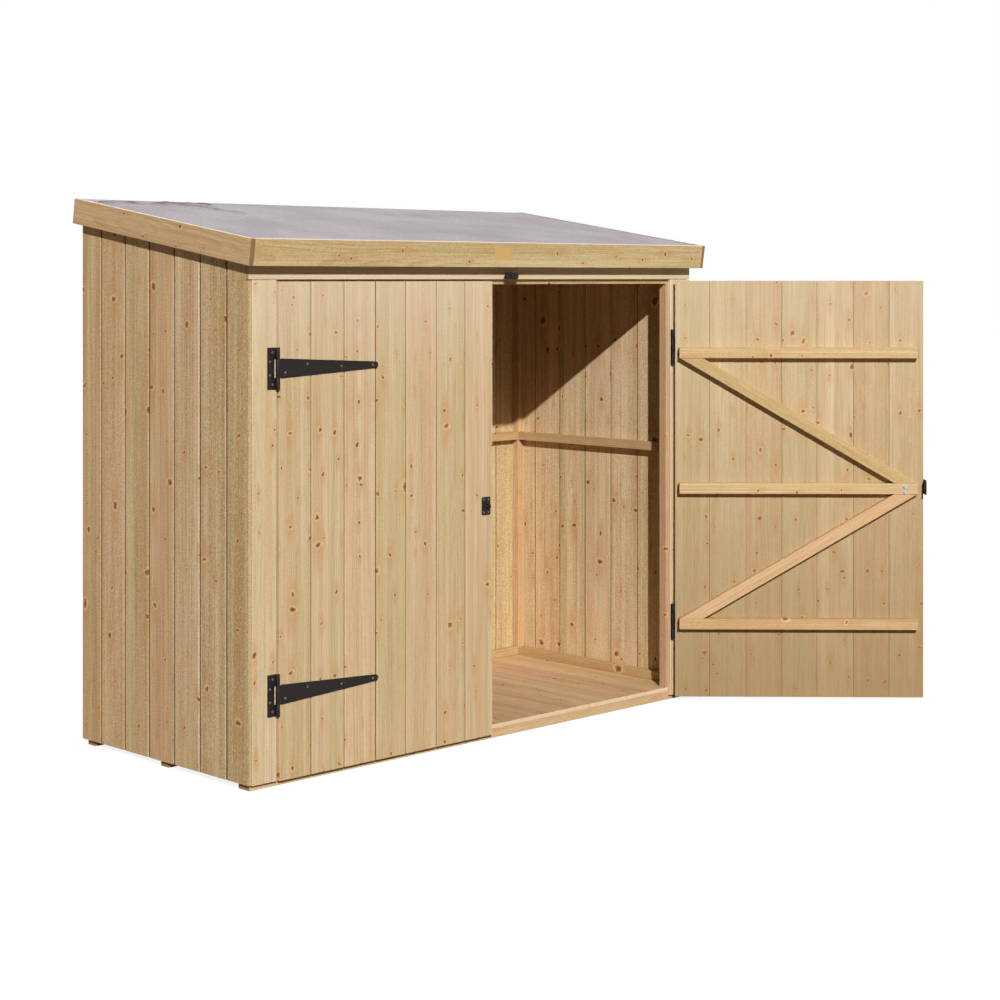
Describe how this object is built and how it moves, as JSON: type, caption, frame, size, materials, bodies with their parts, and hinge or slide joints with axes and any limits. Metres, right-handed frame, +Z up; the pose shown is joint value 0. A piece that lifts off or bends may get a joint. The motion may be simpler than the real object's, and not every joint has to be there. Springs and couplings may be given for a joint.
{
  "type": "bike shelter",
  "caption": "Wooden bike shelter with a pent felt roof, a boarded floor and ledged and braced double doors.",
  "frame": {"origin": "on the ground in the middle of the footprint, on the underside of the middle floor bearer", "axes": "+Z up, +X to the right along the front, +Y to the back; the doors are on the -Y side"},
  "size_m": [2.3435, 1.4539, 1.6245],
  "materials": {
    "cladding": "planed softwood boards, pressure treated",
    "framing": "planed softwood battens",
    "roof_timber": "planed softwood boards, greenish treatment",
    "roofing_felt": "mineral roofing felt, pale grey",
    "black_ironmongery": "black japanned steel"
  },
  "bodies": {
    "shelter": {"sill_rail": "framing", "middle_bearer": "framing", "rear_bearer": "framing", "floor_boards": "cladding", "left_wall_boards": "cladding", "right_wall_boards": "cladding", "rear_wall_boards": "cladding", "left_corner_board": "cladding", "right_corner_board": "cladding", "head_board": "cladding", "left_jamb_post": "framing", "right_jamb_post": "framing", "head_rail": "framing", "front_top_rail": "framing", "left_wall_posts": "framing", "right_wall_posts": "framing", "left_wall_rails": "framing", "right_wall_rails": "framing", "left_top_rail": "framing", "right_top_rail": "framing", "rear_wall_rails": "framing", "rear_top_rail": "framing", "rear_middle_stud": "framing", "roof_rafter": "framing", "roof_deck": "roof_timber", "roof_felt": "roofing_felt", "front_fascia": "roof_timber", "left_fascia": "roof_timber", "right_fascia": "roof_timber", "left_hinge_plates": "black_ironmongery", "right_hinge_plates": "black_ironmongery", "turn_button_boss": "black_ironmongery"},
    "left_door": {"left_door_boards": "cladding", "left_door_ledges": "framing", "left_door_braces": "framing", "left_hinge_straps": "black_ironmongery", "hasp_staple": "black_ironmongery"},
    "right_door": {"right_door_boards": "cladding", "right_door_ledges": "framing", "right_door_braces": "framing", "right_hinge_straps": "black_ironmongery", "hasp_plate": "black_ironmongery"},
    "hasp_leaf": {"hasp_leaf": "black_ironmongery"},
    "turn_button": {"turn_button": "black_ironmongery"}
  },
  "joints": [
    {"name": "left_door_hinge", "type": "hinge", "parent": "shelter", "child": "left_door", "pos_m": [-0.8205, -0.411, 0.694], "axis": [0, 0, -1], "range_deg": [0, 175]},
    {"name": "right_door_hinge", "type": "hinge", "parent": "shelter", "child": "right_door", "pos_m": [0.8205, -0.411, 0.694], "axis": [0, 0, 1], "range_deg": [-134.5, 40.5]},
    {"name": "hasp_hinge", "type": "hinge", "parent": "right_door", "child": "hasp_leaf", "pos_m": [1.39952, -0.99166, 0.70475], "axis": [0, 0, 1], "range_deg": [0, 260]},
    {"name": "turn_button_pivot", "type": "hinge", "parent": "shelter", "child": "turn_button", "pos_m": [0.07, -0.4165, 1.393], "axis": [0, 1, 0], "range_deg": [0, 90]}
  ]
}
